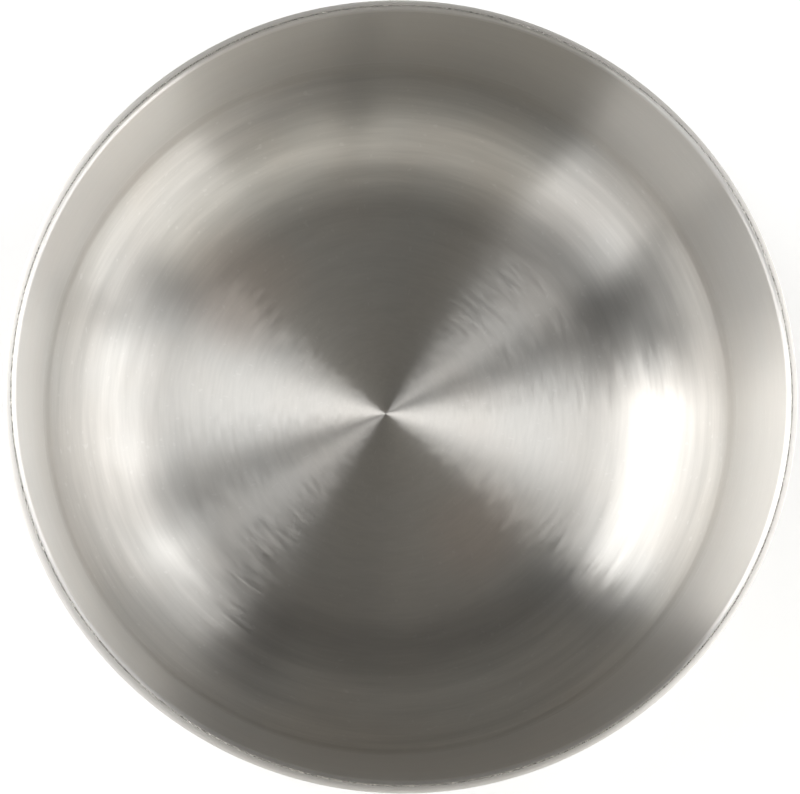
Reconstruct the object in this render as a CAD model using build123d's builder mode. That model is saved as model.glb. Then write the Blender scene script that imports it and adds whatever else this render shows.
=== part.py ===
from build123d import *
import os
from math import acos, cos, degrees, radians, sin, tan

# Double-walled serving bowl of stainless steel. Two drawn shells, one inside the other, are
# pressed together at the rim and closed there by one seam weld that is ground flush. The air
# between them insulates the food. Everything is round about Z.
# Millimetres, +Z up, origin at the centre of the base, on the plane that the bowl stands on.

os.makedirs("parts", exist_ok=True)

# ---- driving dimensions ----
outer_diameter = 280.0       # over the shoulder, the widest place
overall_height = 102.0
inner_depth = 84.0           # from the rim down to the inner floor
sheet = 0.6                  # both shells are drawn from the same sheet

# The inner bowl's inside face, from the rim inwards
seam_radius = 137.15         # where the inner lip meets the weld
lip_radius = 1.6             # the lip turns over outwards to lie level at the weld
wall_angle = 80.0            # the straight wall, measured from level
turn_radius = 12.0           # the tight turn at the foot of the wall
turn_angle = 48.0            # slope at which the floor's corner runs into that turn
corner_radius = 62.0         # the wide corner between the floor and the turn

# The outer bowl's outside face, from the rim downwards
weld_width = 0.5
shoulder_drop = 5.0          # from the weld down to the widest place
side_radius = 220.0          # the slightly rounded side
side_angle = 14.0            # how far the side arc turns before the belly
foot_width = 9.0             # the level ring that the bowl stands on
recess_depth = 1.5           # the middle of the base is pressed in by this much
recess_bend = 3.0            # radius of both bends at the edge of the recess

# The weld and the vent plug
weld_sunk = 0.05             # the weld's ground face lies this much below the lips
vent_radius = 2.0
plug_head_radius = 4.5
plug_head = 0.7
plug_barb_radius = 2.7
plug_barb = 1.6

# ---- the inner bowl's section, worked out from the rim inwards ----
wall_slope = radians(wall_angle)
turn_slope = radians(turn_angle)
floor_z = overall_height - inner_depth
lip_foot = (
    seam_radius - lip_radius * sin(wall_slope),
    overall_height - lip_radius * (1 - cos(wall_slope)),
)
turn_foot_z = floor_z + corner_radius * (1 - cos(turn_slope))
turn_centre_z = turn_foot_z + turn_radius * cos(turn_slope)
wall_foot_z = turn_centre_z - turn_radius * cos(wall_slope)
wall_foot_r = lip_foot[0] - (lip_foot[1] - wall_foot_z) / tan(wall_slope)
turn_centre = (wall_foot_r - turn_radius * sin(wall_slope), turn_centre_z)
turn_foot_r = turn_centre[0] + turn_radius * sin(turn_slope)
floor_radius = turn_foot_r - corner_radius * sin(turn_slope)
corner_centre = (floor_radius, floor_z + corner_radius)
lip_centre = (seam_radius, overall_height - lip_radius)

# ---- the outer bowl's section, worked out from the shoulder down ----
side_turn = radians(side_angle)
outer_radius = outer_diameter / 2
outer_seam_radius = seam_radius + weld_width
shoulder_z = overall_height - shoulder_drop
side_centre = (outer_radius - side_radius, shoulder_z)
side_foot_z = shoulder_z - side_radius * sin(side_turn)
belly_radius = side_foot_z / (1 - sin(side_turn))
belly_centre = (side_centre[0] + (side_radius - belly_radius) * cos(side_turn), belly_radius)
foot_outer_radius = belly_centre[0]
foot_inner_radius = foot_outer_radius - foot_width
bend_angle = degrees(acos(1 - recess_depth / (2 * recess_bend)))
recess_radius = foot_inner_radius - 2 * recess_bend * sin(radians(bend_angle))


def inner_face_line(out):
    """The inner bowl's section from the axis to the weld, a distance out from its inside face."""
    Line((0, floor_z - out), (floor_radius, floor_z - out))
    CenterArc(corner_centre, corner_radius + out, -90, turn_angle)
    CenterArc(turn_centre, turn_radius + out, turn_angle - 90, wall_angle - turn_angle)
    Line(
        (wall_foot_r + out * sin(wall_slope), wall_foot_z - out * cos(wall_slope)),
        (lip_foot[0] + out * sin(wall_slope), lip_foot[1] - out * cos(wall_slope)),
    )
    CenterArc(lip_centre, lip_radius - out, wall_angle + 90, -wall_angle)


def outer_face_line(inward):
    """The outer bowl's section from the vent to the weld, a distance in from its outside face."""
    Line((vent_radius, recess_depth + inward), (recess_radius, recess_depth + inward))
    CenterArc((recess_radius, recess_depth - recess_bend), recess_bend + inward, 90, -bend_angle)
    CenterArc((foot_inner_radius, recess_bend), recess_bend - inward, 270 - bend_angle, bend_angle)
    Line((foot_inner_radius, inward), (foot_outer_radius, inward))
    CenterArc(belly_centre, belly_radius - inward, -90, 90 - side_angle)
    CenterArc(side_centre, side_radius - inward, -side_angle, side_angle)
    EllipticalCenterArc(
        (outer_seam_radius, shoulder_z),
        outer_radius - outer_seam_radius - inward,
        shoulder_drop - inward,
        start_angle=0,
        arc_size=90,
    )


# ---- inner bowl: flat floor, wide corner, tight turn, steep wall and a lip turned outwards ----
with BuildPart() as inner_bowl:
    with BuildSketch(Plane.XZ):
        with BuildLine():
            inner_face_line(0)
            inner_face_line(sheet)
            Line((0, floor_z), (0, floor_z - sheet))
            Line((seam_radius, overall_height), (seam_radius, overall_height - sheet))
        make_face()
    revolve(axis=Axis.Z)
inner_bowl.part.label = "inner_bowl"
export_step(inner_bowl.part, "parts/inner_bowl.step")

# ---- outer bowl: recessed base with a vent hole, foot ring, belly, side and shoulder ----
with BuildPart() as outer_bowl:
    with BuildSketch(Plane.XZ):
        with BuildLine():
            outer_face_line(0)
            outer_face_line(sheet)
            Line((vent_radius, recess_depth), (vent_radius, recess_depth + sheet))
            Line((outer_seam_radius, overall_height), (outer_seam_radius, overall_height - sheet))
        make_face()
    revolve(axis=Axis.Z)
outer_bowl.part.label = "outer_bowl"
export_step(outer_bowl.part, "parts/outer_bowl.step")

# ---- rim weld: a ring that fills the gap between the edges of the two lips ----
with BuildPart() as rim_weld:
    with BuildSketch(Plane.XZ):
        with Locations((seam_radius, overall_height - sheet)):
            Rectangle(weld_width, sheet - weld_sunk, align=(Align.MIN, Align.MIN))
    revolve(axis=Axis.Z)
rim_weld.part.label = "rim_weld"
export_step(rim_weld.part, "parts/rim_weld.step")

# ---- vent plug: a headed plug that seals the hole which let hot air out during welding ----
with BuildPart() as vent_plug:
    with BuildSketch(Plane.XZ):
        with BuildLine():
            Polyline(
                (0, recess_depth - plug_head),
                (plug_head_radius - plug_head / 2, recess_depth - plug_head),
                (plug_head_radius, recess_depth - plug_head / 2),
                (plug_head_radius, recess_depth),
                (vent_radius, recess_depth),
                (vent_radius, recess_depth + sheet),
                (plug_barb_radius, recess_depth + sheet),
                (vent_radius * 0.8, recess_depth + sheet + plug_barb),
                (0, recess_depth + sheet + plug_barb),
                close=True,
            )
        make_face()
    revolve(axis=Axis.Z)
vent_plug.part.label = "vent_plug"
export_step(vent_plug.part, "parts/vent_plug.step")

print("floor radius", round(floor_radius, 2), "belly radius", round(belly_radius, 2))
print("foot ring", round(foot_inner_radius, 2), "to", round(foot_outer_radius, 2))
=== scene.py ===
from math import acos, cos, pi, radians, sin, tan

import bmesh
import bpy
import numpy as np
from mathutils import Matrix, Vector


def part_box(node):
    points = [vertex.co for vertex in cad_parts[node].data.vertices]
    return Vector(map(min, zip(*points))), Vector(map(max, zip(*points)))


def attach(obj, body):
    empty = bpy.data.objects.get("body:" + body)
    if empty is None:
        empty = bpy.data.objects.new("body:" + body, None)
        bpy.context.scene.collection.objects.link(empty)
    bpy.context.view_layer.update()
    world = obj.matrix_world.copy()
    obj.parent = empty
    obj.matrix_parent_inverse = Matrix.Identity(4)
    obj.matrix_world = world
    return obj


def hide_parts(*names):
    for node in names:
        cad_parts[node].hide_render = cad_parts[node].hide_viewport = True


# Double-walled serving bowl of circular-brushed stainless steel. Metres, +Z up, origin at the
# middle of the base. Each shell is a closed sheet turned about Z, with the same section as its
# CAD node, and with the small marks that spinning, brushing and welding leave.

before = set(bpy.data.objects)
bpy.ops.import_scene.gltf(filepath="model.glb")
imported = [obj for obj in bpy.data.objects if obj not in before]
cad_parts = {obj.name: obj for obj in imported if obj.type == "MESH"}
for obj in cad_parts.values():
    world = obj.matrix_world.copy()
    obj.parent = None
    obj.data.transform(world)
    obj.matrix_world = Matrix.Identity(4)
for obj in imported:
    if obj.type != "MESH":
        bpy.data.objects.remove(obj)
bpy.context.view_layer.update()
rng = np.random.default_rng(7)

# ---- sizes, the same driving dimensions as the CAD model ----
RIM_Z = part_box("outer_bowl")[1].z
OUTER_RADIUS = 0.140
SHEET = 0.0006
INNER_DEPTH = 0.084
SEAM_RADIUS = 0.13715
WELD_WIDTH = 0.0005
WELD_SUNK = 0.00005
LIP_RADIUS = 0.0016
WALL_SLOPE = radians(80)
TURN_RADIUS = 0.012
TURN_SLOPE = radians(48)
CORNER_RADIUS = 0.062
SHOULDER_DROP = 0.005
SIDE_RADIUS = 0.220
SIDE_SLOPE = radians(14)
FOOT_WIDTH = 0.009
RECESS_DEPTH = 0.0015
RECESS_BEND = 0.003
VENT_RADIUS = 0.002
PLUG_HEAD_RADIUS = 0.0045
PLUG_HEAD = 0.0007
PLUG_BARB_RADIUS = 0.0027
PLUG_BARB = 0.0016

# ---- places worked out from them ----
FLOOR_Z = RIM_Z - INNER_DEPTH
LIP_FOOT = (
    SEAM_RADIUS - LIP_RADIUS * sin(WALL_SLOPE),
    RIM_Z - LIP_RADIUS * (1 - cos(WALL_SLOPE)),
)
TURN_FOOT_Z = FLOOR_Z + CORNER_RADIUS * (1 - cos(TURN_SLOPE))
TURN_CENTRE_Z = TURN_FOOT_Z + TURN_RADIUS * cos(TURN_SLOPE)
WALL_FOOT_Z = TURN_CENTRE_Z - TURN_RADIUS * cos(WALL_SLOPE)
WALL_FOOT_R = LIP_FOOT[0] - (LIP_FOOT[1] - WALL_FOOT_Z) / tan(WALL_SLOPE)
TURN_CENTRE = (WALL_FOOT_R - TURN_RADIUS * sin(WALL_SLOPE), TURN_CENTRE_Z)
FLOOR_RADIUS = TURN_CENTRE[0] + (TURN_RADIUS - CORNER_RADIUS) * sin(TURN_SLOPE)
TURN_START = FLOOR_RADIUS + CORNER_RADIUS * TURN_SLOPE    # these two are along the section
WALL_START = TURN_START + TURN_RADIUS * (WALL_SLOPE - TURN_SLOPE)
OUTER_SEAM_RADIUS = SEAM_RADIUS + WELD_WIDTH
SHOULDER_Z = RIM_Z - SHOULDER_DROP
SIDE_CENTRE = (OUTER_RADIUS - SIDE_RADIUS, SHOULDER_Z)
BELLY_RADIUS = (SHOULDER_Z - SIDE_RADIUS * sin(SIDE_SLOPE)) / (1 - sin(SIDE_SLOPE))
FOOT_OUTER = SIDE_CENTRE[0] + (SIDE_RADIUS - BELLY_RADIUS) * cos(SIDE_SLOPE)
FOOT_INNER = FOOT_OUTER - FOOT_WIDTH
BEND_ANGLE = acos(1 - RECESS_DEPTH / (2 * RECESS_BEND))
RECESS_RADIUS = FOOT_INNER - 2 * RECESS_BEND * sin(BEND_ANGLE)


# ---- section lines ----
FINEST_STEP = 0.00016        # between points of a section where it bends tightly
FINE_STEP = 0.00025
BEND_STEP = 0.0004
EDGE_STEP = 0.0007
CORNER_STEP = 0.0009
SHORT_STEP = 0.001
PLAIN_STEP = 0.0015          # where it is straight or nearly so
DIMPLED_RADIUS = 0.004       # the floor has fine steps within the first of these radii
PLAIN_RADIUS = 0.072         # and plain ones as far as the second
CREASED_PART = 0.12          # how much of the wall has fine steps, for the crease at its foot
BASE_MIDDLE = 0.012          # the base has short steps within this radius


def line(start, end, step):
    """Points from start up to, but not at, end, about a step apart."""
    start, end = np.array(start), np.array(end)
    count = max(1, round(np.linalg.norm(end - start) / step))
    return start + (end - start) * np.arange(count)[:, None] / count


def arc(centre, radii, first, last, step):
    """Points on an arc from angle first up to, but not at, last, in radians. radii is one or two."""
    radii = np.broadcast_to(radii, 2)
    count = max(2, round(abs(last - first) * radii.max() / step))
    angle = first + (last - first) * np.arange(count) / count
    return np.array(centre) + radii * np.stack([np.cos(angle), np.sin(angle)], 1)


def inner_section(out, fine):
    """The inner bowl's section from the axis to the weld, a distance out from its inside face.

    fine stretches every step: 1 on the face that is seen, more on the hidden one.
    """
    wall_out = np.array((sin(WALL_SLOPE), -cos(WALL_SLOPE))) * out
    wall_foot = np.array((WALL_FOOT_R, WALL_FOOT_Z)) + wall_out
    lip_foot = np.array(LIP_FOOT) + wall_out
    corner = (FLOOR_RADIUS, FLOOR_Z + CORNER_RADIUS)
    creased = wall_foot + (lip_foot - wall_foot) * CREASED_PART
    lip = (SEAM_RADIUS, RIM_Z - LIP_RADIUS)
    floor_z = FLOOR_Z - out
    turn_first, turn_last = TURN_SLOPE - pi / 2, WALL_SLOPE - pi / 2
    return np.vstack([
        line((0, floor_z), (DIMPLED_RADIUS, floor_z), FINE_STEP * fine),
        line((DIMPLED_RADIUS, floor_z), (PLAIN_RADIUS, floor_z), PLAIN_STEP * fine),
        line((PLAIN_RADIUS, floor_z), (FLOOR_RADIUS, floor_z), EDGE_STEP * fine),
        arc(corner, CORNER_RADIUS + out, -pi / 2, turn_first, CORNER_STEP * fine),
        arc(TURN_CENTRE, TURN_RADIUS + out, turn_first, turn_last, FINEST_STEP * fine),
        line(wall_foot, creased, FINE_STEP * fine),
        line(creased, lip_foot, PLAIN_STEP * fine),
        arc(lip, LIP_RADIUS - out, WALL_SLOPE + pi / 2, pi / 2, FINEST_STEP * fine),
        [(SEAM_RADIUS, RIM_Z - out)],
    ])


def outer_section(inward, fine):
    """The outer bowl's section from the vent to the weld, a distance in from its outside face."""
    belly = (FOOT_OUTER, BELLY_RADIUS)
    shoulder = (OUTER_SEAM_RADIUS, SHOULDER_Z)
    shoulder_radii = (OUTER_RADIUS - OUTER_SEAM_RADIUS - inward, SHOULDER_DROP - inward)
    edge_low = (RECESS_RADIUS, RECESS_DEPTH - RECESS_BEND)
    edge_high = (FOOT_INNER, RECESS_BEND)
    base_z = RECESS_DEPTH + inward
    turned = 3 * pi / 2 - BEND_ANGLE
    return np.vstack([
        line((VENT_RADIUS, base_z), (BASE_MIDDLE, base_z), SHORT_STEP * fine),
        line((BASE_MIDDLE, base_z), (RECESS_RADIUS, base_z), PLAIN_STEP * fine),
        arc(edge_low, RECESS_BEND + inward, pi / 2, pi / 2 - BEND_ANGLE, BEND_STEP * fine),
        arc(edge_high, RECESS_BEND - inward, turned, 3 * pi / 2, BEND_STEP * fine),
        line((FOOT_INNER, inward), (FOOT_OUTER, inward), SHORT_STEP * fine),
        arc(belly, BELLY_RADIUS - inward, -pi / 2, -SIDE_SLOPE, PLAIN_STEP * fine),
        arc(SIDE_CENTRE, SIDE_RADIUS - inward, -SIDE_SLOPE, 0, PLAIN_STEP * fine),
        arc(shoulder, shoulder_radii, 0, pi / 2, FINE_STEP * fine),
        [(OUTER_SEAM_RADIUS, RIM_Z - inward)],
    ])


def plug_faces():
    """The plug's underside and its upper side, both from the axis to the edge of the head.

    The underside has a moulded hollow at its middle and a shallow ring groove round it.
    """
    low, high = RECESS_DEPTH - PLUG_HEAD, RECESS_DEPTH
    bend = PLUG_HEAD * 0.6
    top = high + SHEET + PLUG_BARB
    hollow, hollow_drop, hollow_edge = 0.0009, 0.0004, 0.0010
    ring, ring_width, ring_depth = 0.0034, 0.0002, 0.00012
    coarse, small = 0.0003, 0.0001
    under = np.vstack([
        arc((0, low - hollow_drop), hollow, pi / 2, pi / 6, small),
        line((hollow_edge, low), (ring - ring_width, low), coarse),
        arc((ring, low), (ring_width, ring_depth), pi, 0, small),
        line((ring + ring_width, low), (PLUG_HEAD_RADIUS - bend, low), coarse),
        arc((PLUG_HEAD_RADIUS - bend, low + bend), bend, -pi / 2, 0, small),
        [(PLUG_HEAD_RADIUS, high)],
    ])
    upper = np.array([
        (0, top),
        (VENT_RADIUS * 0.8, top),
        (PLUG_BARB_RADIUS, high + SHEET),
        (VENT_RADIUS, high + SHEET),
        (VENT_RADIUS, high),
        (PLUG_HEAD_RADIUS - bend, high),
    ])
    return under, upper


# ---- marks that stand proud of a face, or sink into it ----
def groove(distance, place, width, depth):
    """A soft groove round the bowl at a place along the section."""
    return -depth * np.exp(-(((distance - place) / width) ** 2))


def waves(distance, angle, modes):
    """Gentle waves. A mode is a height, a wavelength along the section, waves round and a phase."""
    return sum(
        height * np.sin(2 * pi * distance / length + count * angle + phase)
        for height, length, count, phase in modes
    )


def inner_relief(distance, angle):
    """The centre dimple, the drawing lines, and the waves that spinning left round the corner."""
    drawn = sum(groove(distance, *mark) for mark in DRAWN_MARKS)
    corner = np.exp(-(((distance - WAVES_MIDDLE) / WAVES_REACH) ** 2))
    return drawn + corner * waves(distance, angle, CORNER_WAVES)


def outer_relief(distance, angle):
    """Pressed rings in the recess of the base. Every mark goes into the sheet.

    The rings are the same at every angle, so 0 * angle only repeats them all the way round.
    """
    rings = PRESSED_DEPTH * (1 + np.cos(2 * pi * distance / PRESSED_APART))
    return rings * (distance < RECESS_RADIUS - PRESSED_MARGIN) + 0 * angle


DRAWN_MARKS = [              # place along the section, width and depth
    (0, 0.0007, 0.00005),                      # the dimple at the centre
    (FLOOR_RADIUS, 0.0012, 0.000006),          # the floor's edge
    (TURN_START, 0.0009, 0.000008),            # where the wide corner ends
    (WALL_START - 0.0045, 0.0009, 0.00006),    # the crease at the wall's foot
    (WALL_START + 0.0028, 0.0011, 0.00018),
]
WAVES_MIDDLE = 0.100         # along the section, in the wide corner
WAVES_REACH = 0.020
PRESSED_DEPTH = 0.00001
PRESSED_APART = 0.0045
PRESSED_MARGIN = 0.004       # the rings stop this far inside the recess's edge
CORNER_WAVES = [             # height, wavelength, waves round and phase
    (0.000010, 0.013, 5, 0.4),
    (0.000008, 0.009, -7, 2.1),
    (0.000005, 0.006, 11, 4.0),
]


# ---- turning a section into a mesh ----
def along(section):
    """How far along the section each of its points lies."""
    steps = np.linalg.norm(np.diff(section, axis=0), axis=1)
    return np.concatenate([[0], np.cumsum(steps)])


def normals(section):
    """Unit normals of the section, to the left of its direction."""
    run = np.gradient(section, axis=0)
    run /= np.linalg.norm(run, axis=1)[:, None]
    return np.stack([-run[:, 1], run[:, 0]], 1)


def make_piece(name, points, faces, smooth=True):
    """An object from points and faces, with its faces turned outwards and sharp edges kept."""
    mesh = bpy.data.meshes.new(name)
    mesh.from_pydata(points, [], faces)
    work = bmesh.new()
    work.from_mesh(mesh)
    loose = [vertex for vertex in work.verts if not vertex.link_faces]
    bmesh.ops.delete(work, geom=loose, context="VERTS")
    bmesh.ops.recalc_face_normals(work, faces=work.faces)
    work.to_mesh(mesh)
    work.free()
    if smooth:
        mesh.shade_smooth()
        mesh.set_sharp_from_angle(angle=radians(40))
    piece = bpy.data.objects.new(name, mesh)
    bpy.context.scene.collection.objects.link(piece)
    return piece


def turned_piece(name, face, back, segments, relief=None):
    """A closed body turned about Z: face is the section that is seen, back the hidden one.

    Both run outwards. relief(distance, angle) gives how far the face moves to its left.
    """
    angle = 2 * pi * np.arange(segments) / segments
    ring = np.repeat(face[None], segments, 0)
    if relief is not None:
        moved = relief(along(face)[None, :], angle[:, None])
        ring = ring + moved[:, :, None] * normals(face)[None]
    ring = np.concatenate([ring, np.repeat(back[::-1][None], segments, 0)], 1)
    count = ring.shape[1]
    x = ring[:, :, 0] * np.cos(angle)[:, None]
    y = ring[:, :, 0] * np.sin(angle)[:, None]
    points = np.stack([x, y, ring[:, :, 1]], 2).reshape(-1, 3)
    on_axis = np.concatenate([face[:, 0], back[::-1, 0]]) < 1e-9
    index = np.arange(segments * count).reshape(segments, count)
    index[:, on_axis] = index[0, on_axis]
    faces = []
    for j in range(count):
        k = (j + 1) % count
        a, b = index[:, j], index[:, k]
        c, d = np.roll(b, -1), np.roll(a, -1)
        if on_axis[j] and on_axis[k]:
            continue
        if on_axis[j]:
            corners = (a, c, b)
        elif on_axis[k]:
            corners = (a, d, b)
        else:
            corners = (a, d, c, b)
        faces += np.stack(corners, 1).tolist()
    return make_piece(name, points.tolist(), faces)


def weld_bead(segments=1800, strips=3):
    """The ground seam weld: a ring of small uneven facets, a little below the lips."""
    pit_depth, swell_depth = 0.00009, 0.00002
    angle = 2 * pi * np.arange(segments) / segments
    radius = np.linspace(SEAM_RADIUS, OUTER_SEAM_RADIUS, strips + 1)
    pits = rng.random((segments, strips + 1)) ** 3 * pit_depth
    swell = swell_depth * (1 + np.sin(47 * angle) * np.sin(31 * angle + 1))
    top = RIM_Z - WELD_SUNK - pits - swell[:, None]
    low = np.full((segments, 2), RIM_Z - SHEET)
    rings = np.concatenate([top, low], 1)
    reach = np.concatenate([radius, [OUTER_SEAM_RADIUS, SEAM_RADIUS]])
    x = reach * np.cos(angle)[:, None]
    y = reach * np.sin(angle)[:, None]
    points = np.stack([x, y, rings], 2).reshape(-1, 3)
    count = len(reach)
    index = np.arange(segments * count).reshape(segments, count)
    faces = []
    for j in range(count):
        a, b = index[:, j], index[:, (j + 1) % count]
        faces += np.stack([a, np.roll(a, -1), np.roll(b, -1), b], 1).tolist()
    return make_piece("rim_weld_bead", points.tolist(), faces, smooth=False)


# ---- materials ----
SOFT = "SMOOTHSTEP"
# Radius and height, added, tell how far along the inside a point lies. These are the sums at the
# floor's edge, at the wall's foot and at the lip's foot.
FLAT_EDGE = FLOOR_RADIUS + FLOOR_Z
WALL_EDGE = WALL_FOOT_R + WALL_FOOT_Z
LIP_EDGE = LIP_FOOT[0] + LIP_FOOT[1]
FLAT_ROUGHER = 0.002         # the floor and the wall are this much rougher than the corner
WALL_ROUGHER = 0.01
RING_ROUGHER = 0.007         # and the rings differ by this much either way
STAINS = [                   # centre and reach of each
    ((0.033, -0.044, 0.018), 0.026),
    ((-0.054, 0.046, 0.018), 0.030),
]
STEEL = (0.685, 0.672, 0.645)
WARM_TINT = (1.01, 0.985, 0.96)
COOL_TINT = (1.0, 1.0, 0.995)
STAIN_TINT = (1.03, 0.955, 0.91)
WORN_TONE = (0.2, 0.2, 0.19)
NICK_TONE = (0.95, 0.94, 0.92)
# painted light: the lighter colour the wall is painted, in place of light falling on it
WALL_PAINTED_LIGHT_TONE = (0.92, 0.91, 0.89)
# painted highlight: the lighter colour of the rolled lip, in place of the bright light it reflects
LIP_PAINTED_HIGHLIGHT_TONE = (0.93, 0.91, 0.88)
DUST_TONE = (0.12, 0.11, 0.10)


def add(tree, kind, inputs=None, **settings):
    """A new node. inputs gives a socket a number, a colour or another node's output."""
    node = tree.nodes.new("ShaderNode" + kind)
    for setting, value in settings.items():
        setattr(node, setting, value)
    for socket, value in (inputs or {}).items():
        if isinstance(value, bpy.types.NodeSocket):
            tree.links.new(value, node.inputs[socket])
        else:
            node.inputs[socket].default_value = value
    return node


def sums(tree, operation, first, second):
    """One step of arithmetic on two numbers or outputs."""
    return add(tree, "Math", {0: first, 1: second}, operation=operation).outputs[0]


def remap(tree, value, low, high, start=0.0, end=1.0, curve="LINEAR"):
    """The value's range start to end, stretched to low to high and held there."""
    inputs = {"Value": value, "From Min": start, "From Max": end, "To Min": low, "To Max": high}
    return add(tree, "MapRange", inputs, interpolation_type=curve).outputs["Result"]


def ring_place(tree):
    """Where a point lies on the bowl: its spoke, as a unit vector from Z, and how far out and up."""
    apart = add(tree, "SeparateXYZ", {0: add(tree, "TexCoord").outputs["Object"]}).outputs
    flat = add(tree, "CombineXYZ", {0: apart["X"], 1: apart["Y"]}).outputs[0]
    reach = add(tree, "VectorMath", {0: flat}, operation="LENGTH").outputs["Value"]
    spoke = add(tree, "VectorMath", {0: flat}, operation="NORMALIZE").outputs[0]
    return spoke, sums(tree, "ADD", reach, apart["Z"])


def ring_noise(tree, place, turns, fineness, offset, detail):
    """Noise drawn out round Z: fineness is per metre across the rings, turns how broken they are."""
    spoke, across = place
    spread = add(tree, "VectorMath", {0: spoke, 3: turns}, operation="SCALE").outputs[0]
    lift = sums(tree, "ADD", sums(tree, "MULTIPLY", across, fineness), offset)
    up = add(tree, "CombineXYZ", {2: lift}).outputs[0]
    where = add(tree, "VectorMath", {0: spread, 1: up}, operation="ADD").outputs[0]
    return add(tree, "TexNoise", {"Vector": where, "Scale": 1.0, "Detail": detail}).outputs["Fac"]


def patch_noise(tree, scale, offset, detail):
    """Soft patches that keep no direction."""
    place = add(tree, "TexCoord").outputs["Object"]
    moved = add(tree, "VectorMath", {0: place, 1: (offset, 0, 0)}, operation="ADD").outputs[0]
    return add(tree, "TexNoise", {"Vector": moved, "Scale": scale, "Detail": detail}).outputs["Fac"]


def stain(tree, centre, reach):
    """A soft round patch, as a mask that is 1 at its centre and 0 a distance reach from it."""
    place = add(tree, "TexCoord").outputs["Object"]
    away = add(tree, "VectorMath", {0: place, 1: centre}, operation="DISTANCE").outputs["Value"]
    return remap(tree, away, 1.0, 0.0, 0.2 * reach, reach, SOFT)


def specks(tree, scale, size):
    """Tiny pits and dust, in a few of the cells of a foam, as a mask that is 1 on a speck."""
    place = add(tree, "TexCoord").outputs["Object"]
    cells = add(tree, "TexVoronoi", {"Vector": place, "Scale": scale})
    chosen = add(tree, "SeparateColor", {0: cells.outputs["Color"]}).outputs[0]
    near = remap(tree, cells.outputs["Distance"], 1.0, 0.0, size * 0.5, size)
    return sums(tree, "MULTIPLY", near, sums(tree, "GREATER_THAN", chosen, 0.75))


def mix(tree, factor, first, second):
    """Two colours mixed by a factor."""
    node = add(tree, "Mix", {"Factor": factor}, data_type="RGBA")
    for socket, value in (("A", first), ("B", second)):
        target = [entry for entry in node.inputs if entry.name == socket and entry.type == "RGBA"][0]
        if isinstance(value, bpy.types.NodeSocket):
            tree.links.new(value, target)
        else:
            target.default_value = (*value, 1)
    return [entry for entry in node.outputs if entry.type == "RGBA"][0]


def tinted(colour, tint):
    """A colour, part by part, times a tint."""
    return tuple(part * share for part, share in zip(colour, tint))


def steel_tone(tree, place, strokes, bands, colour, wall_painted_light):
    """The steel's colour: warm and cool patches, stains, wear, nicks and dust on it, and painted
    light on top: a lighter wall and a lighter rolled lip.
    """
    across = place[1]
    haze = remap(tree, patch_noise(tree, 22.0, 5.0, 2.0), 0, 1, 0.3, 0.7, SOFT)
    tone = mix(tree, haze, tinted(colour, COOL_TINT), tinted(colour, WARM_TINT))
    for centre, reach in STAINS:
        tone = mix(tree, stain(tree, centre, reach), tone, tinted(colour, STAIN_TINT))
    off_floor = remap(tree, across, 0.4, 1.0, FLAT_EDGE - 0.002, FLAT_EDGE + 0.015)
    off_wall = remap(tree, across, 1.0, 0.3, WALL_EDGE - 0.010, WALL_EDGE)
    streaked = sums(tree, "MULTIPLY", off_floor, off_wall)
    worn = sums(tree, "MULTIPLY", remap(tree, bands, 0.0, 0.24, 0.3, 0.75), streaked)
    nicks = remap(tree, ring_noise(tree, place, 45.0, 500, 91.0, 0.0), 0.0, 0.14, 0.74, 0.84)
    for factor, over in (
        (remap(tree, strokes, 0.0, 0.09, 0.3, 0.8), WORN_TONE),
        (worn, WORN_TONE),
        (nicks, NICK_TONE),
        # painted light: the wall's colour is made lighter, standing in for light falling on it
        (remap(tree, across, 0.0, wall_painted_light, WALL_EDGE - 0.008, WALL_EDGE + 0.004), WALL_PAINTED_LIGHT_TONE),
        # painted highlight: the rolled lip's colour is made lighter, standing in for the bright band
        # it reflects
        (remap(tree, across, 0.0, 0.8, LIP_EDGE - 0.001, LIP_EDGE), LIP_PAINTED_HIGHLIGHT_TONE),
        (sums(tree, "MULTIPLY", specks(tree, 120.0, 0.03), 0.12), DUST_TONE),
    ):
        tone = mix(tree, factor, tone, over)
    return tone


def steel_roughness(tree, place, bands, roughness, rolled):
    """The floor, the wall and the rolled edge differ a little, and so do the rings."""
    across = place[1]
    flat = remap(tree, across, FLAT_ROUGHER, 0.0, FLAT_EDGE - 0.004, FLAT_EDGE + 0.004)
    wall = remap(tree, across, 0.0, WALL_ROUGHER, WALL_EDGE - 0.004, WALL_EDGE + 0.004)
    edge = remap(tree, across, 0.0, rolled, LIP_EDGE - 0.001, LIP_EDGE + 0.0002)
    low, high = roughness - RING_ROUGHER, roughness + RING_ROUGHER
    rings = remap(tree, bands, low, high, 0.25, 0.75, SOFT)
    return sums(tree, "ADD", sums(tree, "ADD", flat, wall), sums(tree, "ADD", edge, rings))


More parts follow.
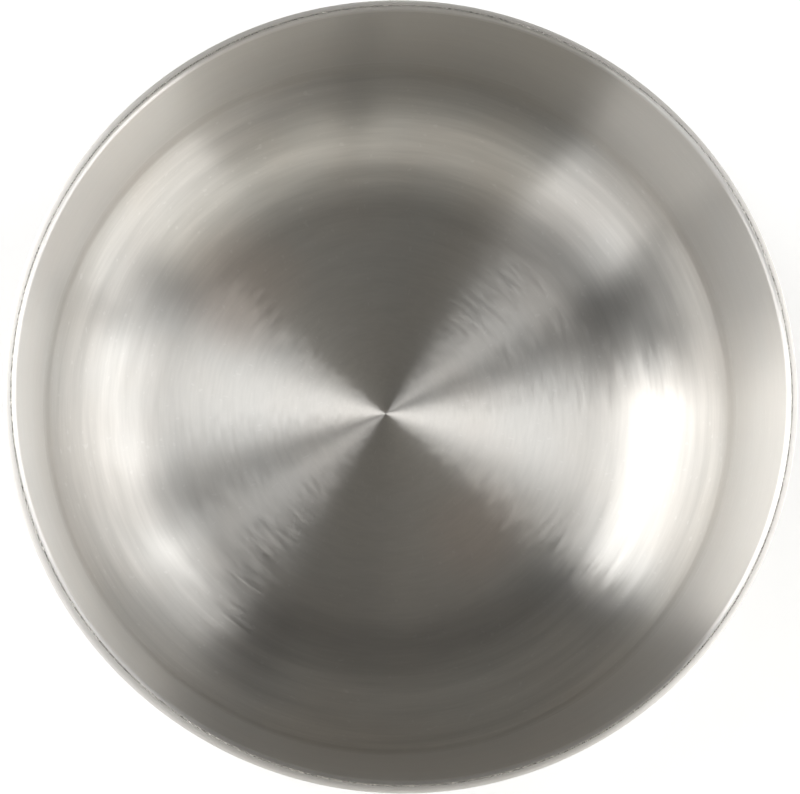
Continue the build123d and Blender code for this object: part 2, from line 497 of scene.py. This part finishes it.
def steel_normal(tree, place, tangent, strokes, stray, depth, sway, dished):
    """The strokes are fine grooves that stray from true circles, and the floor is dished."""
    spoke, across = place
    bump = add(tree, "Bump", {"Height": strokes, "Distance": depth, "Strength": 1.0}).outputs[0]
    steady = remap(tree, across, 1.0, 0.45, FLAT_EDGE - 0.005, FLAT_EDGE + 0.015)
    lean = sums(tree, "MULTIPLY", remap(tree, stray, -sway, sway, 0.2, 0.8), steady)
    aside = add(tree, "VectorMath", {0: tangent, 3: lean}, operation="SCALE").outputs[0]
    rise = remap(tree, across, 0.0, -dished, FLAT_EDGE - 0.070, FLAT_EDGE)
    fall = remap(tree, across, 1.0, 0.0, FLAT_EDGE, FLAT_EDGE + 0.015)
    dish = sums(tree, "MULTIPLY", rise, fall)
    inward = add(tree, "VectorMath", {0: spoke, 3: dish}, operation="SCALE").outputs[0]
    both = add(tree, "VectorMath", {0: aside, 1: inward}, operation="ADD").outputs[0]
    leaning = add(tree, "VectorMath", {0: bump, 1: both}, operation="ADD").outputs[0]
    return add(tree, "VectorMath", {0: leaning}, operation="NORMALIZE").outputs[0]


def metal(name):
    """A bare metal material, its node tree and its shader."""
    material = bpy.data.materials.new(name)
    material.use_nodes = True
    shader = material.node_tree.nodes["Principled BSDF"]
    shader.inputs["Metallic"].default_value = 1.0
    return material, material.node_tree, shader


def brushed_steel(
    name, roughness, anisotropy, fineness, depth, sway, rolled, dished, wall_painted_light, colour=STEEL
):
    """Steel brushed in circles about Z.

    fineness is how many strokes there are to a metre, depth how deep they are, and sway how far
    they stray from a true circle. rolled is how much rougher the rolled edge is, dished how far
    the floor leans inwards at its edge, and wall_painted_light how much lighter the wall's colour is
    painted, a painted light that stands in for light on the wall.
    """
    material, tree, shader = metal(name)
    shader.inputs["Anisotropic"].default_value = anisotropy
    shader.inputs["Anisotropic Rotation"].default_value = 0.25
    tangent = add(tree, "Tangent", direction_type="RADIAL", axis="Z").outputs[0]
    place = ring_place(tree)
    strokes = ring_noise(tree, place, 7.0, fineness, 0.0, 2.0)
    bands = ring_noise(tree, place, 1.5, fineness * 0.17, 31.0, 3.0)
    stray = ring_noise(tree, place, 7.0, fineness * 0.6, 67.0, 2.0)
    for socket, value in (
        ("Tangent", tangent),
        ("Base Color", steel_tone(tree, place, strokes, bands, colour, wall_painted_light)),
        ("Roughness", steel_roughness(tree, place, bands, roughness, rolled)),
        ("Normal", steel_normal(tree, place, tangent, strokes, stray, depth, sway, dished)),
    ):
        tree.links.new(value, shader.inputs[socket])
    return material


def rough_metal(name, colour, roughness, grain, height):
    """Bare unbrushed metal with an uneven tone and a fine grain."""
    material, tree, shader = metal(name)
    pale = tuple(min(1.0, part * 1.5) for part in colour)
    cells = patch_noise(tree, grain, 11.0, 2.0)
    bump = add(tree, "Bump", {"Height": cells, "Distance": height, "Strength": 1.0})
    for socket, value in (
        ("Base Color", mix(tree, remap(tree, cells, 0, 1, 0.35, 0.7), colour, pale)),
        ("Roughness", remap(tree, cells, roughness * 0.7, roughness * 1.3, 0.3, 0.7)),
        ("Normal", bump.outputs[0]),
    ):
        tree.links.new(value, shader.inputs[socket])
    return material


inner_steel = brushed_steel(
    "brushed_inside",
    roughness=0.284,
    anisotropy=1.0,
    fineness=900,
    depth=0.000003,
    sway=0.020,
    rolled=0.08,
    dished=0.035,
    # painted light: the wall's colour is made this much lighter
    wall_painted_light=0.45,
)
outer_steel = brushed_steel(
    "brushed_outside",
    roughness=0.30,
    anisotropy=0.92,
    fineness=1500,
    depth=0.000004,
    sway=0.006,
    rolled=0.35,
    dished=0.0,
    wall_painted_light=0.0,
)
weld_steel = rough_metal("ground_weld", (0.44, 0.42, 0.39), 0.3, 2500.0, 0.00001)
plug_steel = rough_metal("plug_metal", (0.42, 0.42, 0.41), 0.35, 900.0, 0.00001)

# ---- pieces ----
SEGMENTS, PLUG_SEGMENTS = 384, 96
HIDDEN = 3                   # a hidden face's steps are this many times as long
inner_faces = (inner_section(0, 1), inner_section(SHEET, HIDDEN))
outer_faces = (outer_section(0, 1), outer_section(SHEET, HIDDEN))
inner = turned_piece("inner_bowl_sheet", *inner_faces, SEGMENTS, inner_relief)
outer = turned_piece("outer_bowl_sheet", *outer_faces, SEGMENTS, outer_relief)
weld = weld_bead()
plug = turned_piece("vent_plug_body", *plug_faces(), PLUG_SEGMENTS)
for piece, node, slot, material in (
    (inner, "inner_bowl", "inner_steel", inner_steel),
    (outer, "outer_bowl", "outer_steel", outer_steel),
    (weld, "rim_weld", "weld_steel", weld_steel),
    (plug, "vent_plug", "plug_steel", plug_steel),
):
    piece.data.materials.append(material)
    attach(piece, "root")
    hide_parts(node)


# ---- stage, camera and light ----
def place_camera():
    """The camera, nearly straight above the bowl and a little to one side."""
    distance, tilt, heading = 1.5, radians(7.06), radians(228.6)
    aim = Vector((-0.00157, -0.00160, RIM_Z))
    away = Vector((sin(tilt) * cos(heading), sin(tilt) * sin(heading), cos(tilt)))
    right = Vector((0, 1, 0)).cross(away).normalized()
    up = away.cross(right)
    camera = bpy.data.objects.new("camera", bpy.data.cameras.new("camera"))
    camera.data.sensor_width = 36
    camera.data.lens = 192.6
    turn = Matrix((right, up, away)).transposed()
    camera.matrix_world = Matrix.Translation(aim + away * distance) @ turn.to_4x4()
    bpy.context.scene.collection.objects.link(camera)
    bpy.context.scene.camera = camera


def place_floor():
    """A pale floor that glows faintly, so that it comes out white."""
    mesh = bpy.data.meshes.new("floor")
    half = 8.0
    corners = [(-half, -half, 0), (half, -half, 0), (half, half, 0), (-half, half, 0)]
    mesh.from_pydata(corners, [], [(0, 1, 2, 3)])
    floor = bpy.data.objects.new("floor", mesh)
    bpy.context.scene.collection.objects.link(floor)
    material = bpy.data.materials.new("floor")
    material.use_nodes = True
    shader = material.node_tree.nodes["Principled BSDF"]
    shader.inputs["Base Color"].default_value = (0.9, 0.9, 0.9, 1)
    shader.inputs["Roughness"].default_value = 0.8
    shader.inputs["Emission Color"].default_value = (1, 1, 1, 1)
    shader.inputs["Emission Strength"].default_value = 0.3
    mesh.materials.append(material)


WARM = (1.0, 0.97, 0.90)     # the light at the front and the back is a little warmer


def softbox(name, azimuth, elevation, wide, tall, radiance, colour=(1, 1, 1)):
    """A flat soft light that faces the bowl.

    wide and tall are half its width and height, seen from the bowl. All angles are in degrees.
    radiance is how bright its face is.
    """
    distance = 3.0
    light = bpy.data.lights.new(name, "AREA")
    light.shape = "RECTANGLE"
    light.size = 2 * distance * tan(radians(wide))
    light.size_y = 2 * distance * tan(radians(tall))
    light.energy = 4 * radiance * light.size * light.size_y
    light.color = colour
    lamp = bpy.data.objects.new(name, light)
    a, e = radians(azimuth), radians(elevation)
    away = Vector((cos(a) * cos(e), sin(a) * cos(e), sin(e)))
    lamp.location = away * distance + Vector((0, 0, FLOOR_Z))
    lamp.rotation_euler = away.to_track_quat("Z", "Y").to_euler()
    lamp.visible_camera = False
    bpy.context.scene.collection.objects.link(lamp)


def light_room():
    """A dark ceiling and a pale horizon."""
    world = bpy.data.worlds.new("world")
    bpy.context.scene.world = world
    world.use_nodes = True
    tree = world.node_tree
    height = add(tree, "SeparateXYZ", {0: add(tree, "TexCoord").outputs["Generated"]}).outputs["Z"]
    strength = remap(tree, height, 0.75, 0.01, 0.0, 0.10)
    tree.links.new(strength, tree.nodes["Background"].inputs["Strength"])
    tree.nodes["Background"].inputs["Color"].default_value = (1, 1, 0.98, 1)


place_camera()
place_floor()
light_room()
for name, *shape in (
    ("right_high", 5, 51, 9, 15, 2.25),
    ("right_middle", 27, 46, 7, 11, 2.0),
    ("right_far", 43, 48, 6, 12, 1.3),
    ("right_strip", 40, 62, 2.5, 10, 1.2),
    ("right_low", -8, 14, 38, 10, 2.4),
    ("right_side", -31, 28, 15, 14, 0.8),
    ("left_high", 154, 57, 13, 11, 1.6),
    ("left_middle", 157, 48, 16, 12, 2.0),
    ("left_side", 178, 56, 6, 14, 0.8),
    ("left_top", 150, 74, 5, 6, 1.8),
    ("left_low", 172, 13, 36, 10, 2.8),
    ("front_gap", 203, 42, 7, 12, 0.3),
    ("front_left", 224, 44, 10, 16, 1.45),
    ("front", 260, 54, 14, 14, 0.85, WARM),
    ("front_right", 311, 54, 16, 10, 1.35, WARM),
    ("back", 94, 44, 24, 14, 0.2, WARM),
):
    softbox(name, *shape)
bpy.context.scene.view_settings.view_transform = "Standard"
